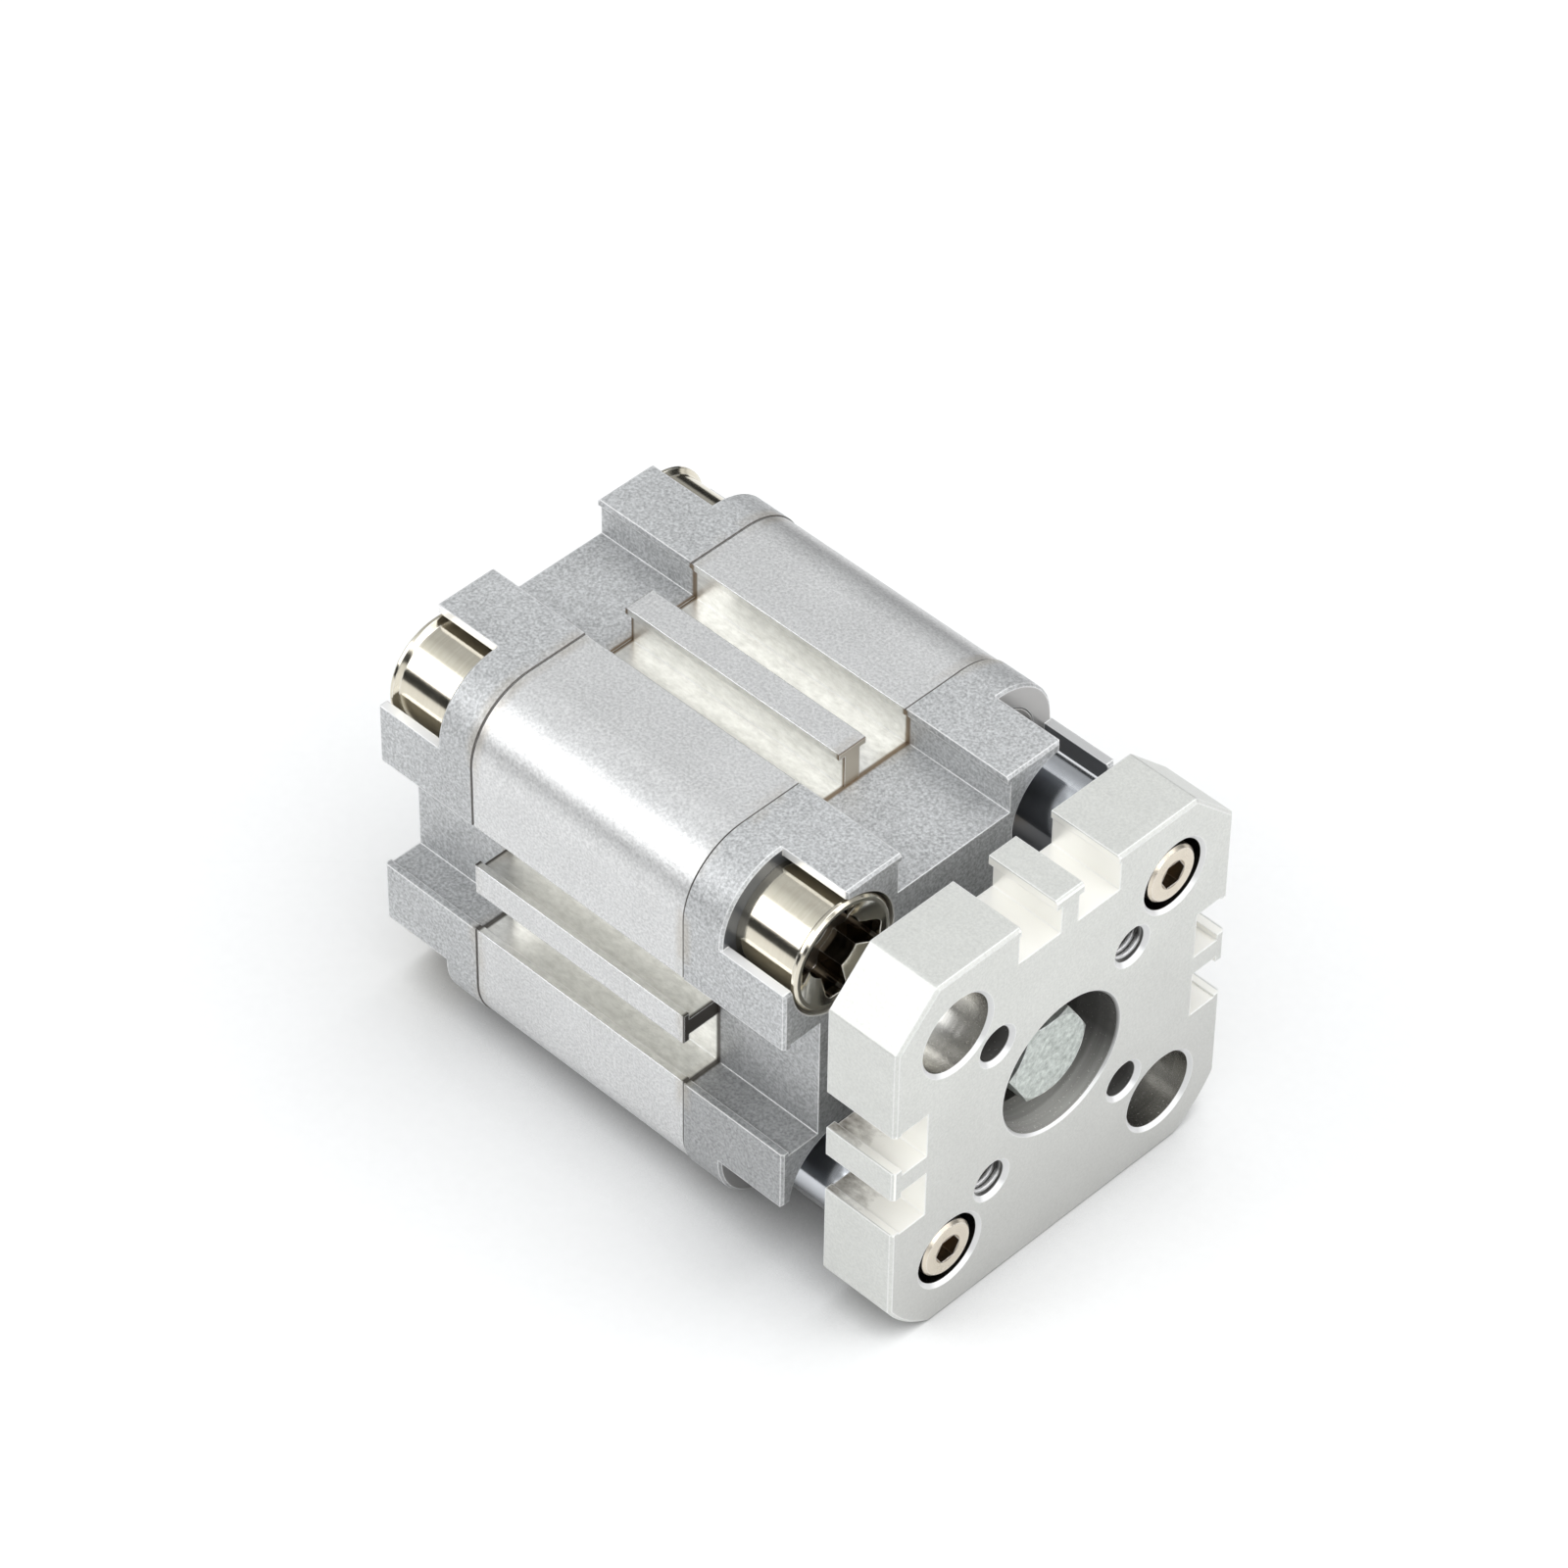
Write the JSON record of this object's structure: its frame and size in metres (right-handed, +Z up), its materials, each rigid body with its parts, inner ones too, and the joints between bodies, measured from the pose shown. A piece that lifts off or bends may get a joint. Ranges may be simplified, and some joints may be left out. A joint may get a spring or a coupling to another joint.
{
  "type": "guided pneumatic cylinder",
  "caption": "Square compact pneumatic cylinder with guide rods and a front plate that slides out, slotted sides, and threaded mounts at both ends.",
  "frame": {"origin": "centre of the rear mounting face, on the cylinder axis", "axes": "+X along the cylinder axis towards the front plate, +Z up, +Y to the right of someone who stands behind the rear face looking along +X"},
  "size_m": [0.0761, 0.0496, 0.0496],
  "materials": {
    "cap": "fine grained blasted and clear anodised, silver grey",
    "barrel": "satin clear anodised extrusion",
    "plate": "satin clear anodised, fine brushing",
    "rubber": "matte black",
    "bumper": "matte dark polyurethane",
    "bush": "sintered bronze, satin",
    "nut": "satin nickel",
    "tube": "turned steel",
    "rod": "polished",
    "piston": "turned",
    "magnet": "plastic bonded ferrite",
    "piston_nut": "zinc plated",
    "bolt": "zinc plated, satin",
    "screw": "satin nickel"
  },
  "bodies": {
    "housing": {"end_cap": "cap", "bearing_cap": "cap", "barrel": "barrel", "end_cap_seal_ring": "rubber", "bearing_cap_seal_ring": "rubber", "rod_seal": "rubber", "rear_bumper": "bumper", "front_bumper": "bumper", "rod_bush": "bush", "guide_bush_front_upper_right": "bush", "guide_bush_rear_upper_right": "bush", "guide_bush_front_lower_left": "bush", "guide_bush_rear_lower_left": "bush", "collar_nut_rear_upper_left": "nut", "collar_nut_rear_upper_right": "nut", "collar_nut_rear_lower_left": "nut", "collar_nut_rear_lower_right": "nut", "collar_nut_front_upper_left": "nut", "collar_nut_front_lower_right": "nut", "tie_tube_upper_left": "tube", "tie_tube_lower_right": "tube", "guide_tube_upper_right": "tube", "guide_tube_lower_left": "tube"},
    "carriage": {"piston": "piston", "piston_seal_rear": "rubber", "piston_seal_front": "rubber", "piston_magnet": "magnet", "piston_nut": "piston_nut", "piston_rod": "rod", "front_plate": "plate", "plate_bolt": "bolt", "guide_rod_upper_right": "rod", "guide_rod_lower_left": "rod", "guide_screw_upper_right": "screw", "guide_screw_lower_left": "screw"}
  },
  "joints": [
    {"name": "stroke", "type": "slide", "parent": "housing", "child": "carriage", "axis": [1, 0, 0], "range_m": [0, 0.015]}
  ]
}
